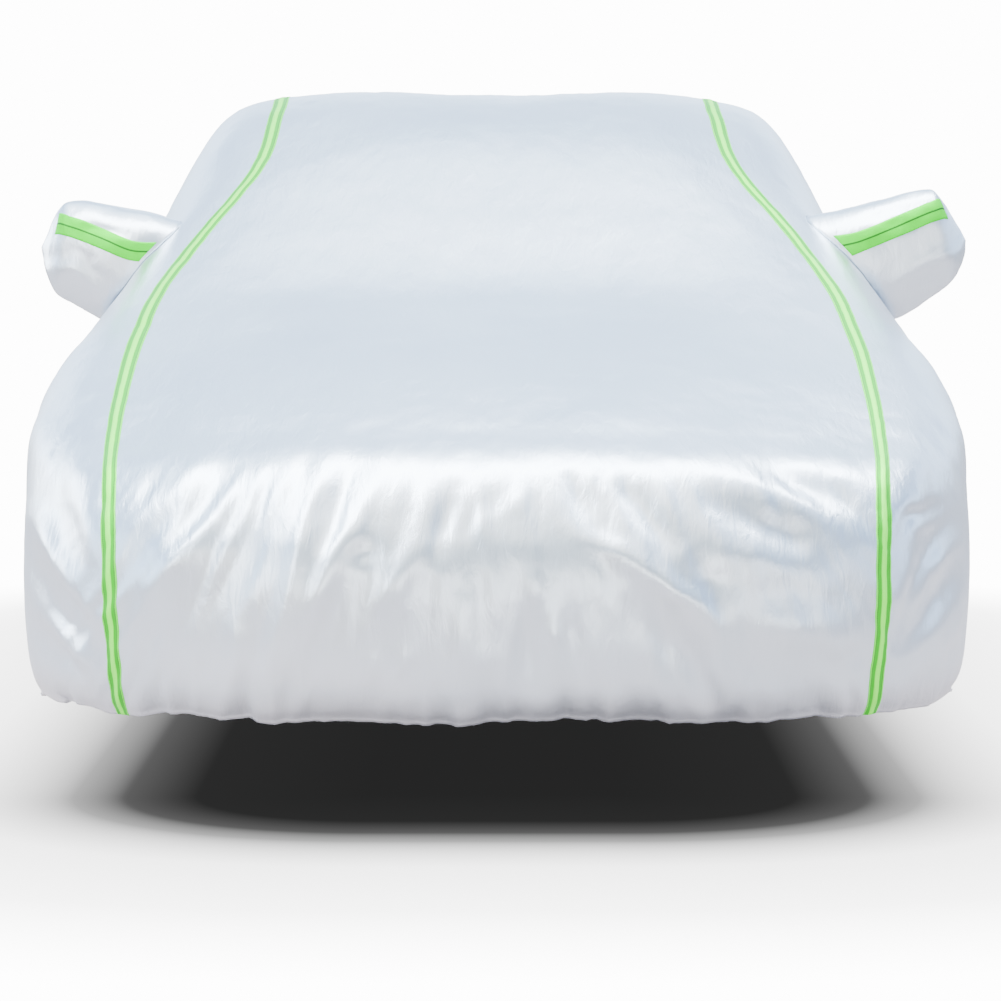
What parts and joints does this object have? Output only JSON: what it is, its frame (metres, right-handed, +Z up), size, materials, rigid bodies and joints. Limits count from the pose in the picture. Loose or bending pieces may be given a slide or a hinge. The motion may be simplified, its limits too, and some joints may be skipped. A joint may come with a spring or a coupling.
{
  "type": "car cover",
  "caption": "Fitted car cover of coated cloth, a hollow shell open underneath, with green reflective seam tapes and two mirror pockets.",
  "frame": {"origin": "the point under the top of the roof where the cover is held up, on the inner face of the cloth, in the middle of its width; the ground lies 1.411 m below it", "axes": "+Z up, +Y from the front to the back, +X towards the side that is on the right when one looks at the front"},
  "size_m": [2.003, 4.7021, 1.2477],
  "materials": {
    "silver_cloth": "satin",
    "seam_green": "satin",
    "pocket_green": "satin"
  },
  "bodies": {
    "root": {"centre_panel": "silver_cloth", "side_panel_left": "silver_cloth", "side_panel_right": "silver_cloth", "mirror_pocket_left": "silver_cloth", "mirror_pocket_right": "silver_cloth", "seam_tape_left": "seam_green", "seam_tape_right": "seam_green", "pocket_tape_left": "pocket_green", "pocket_tape_right": "pocket_green"}
  },
  "joints": []
}
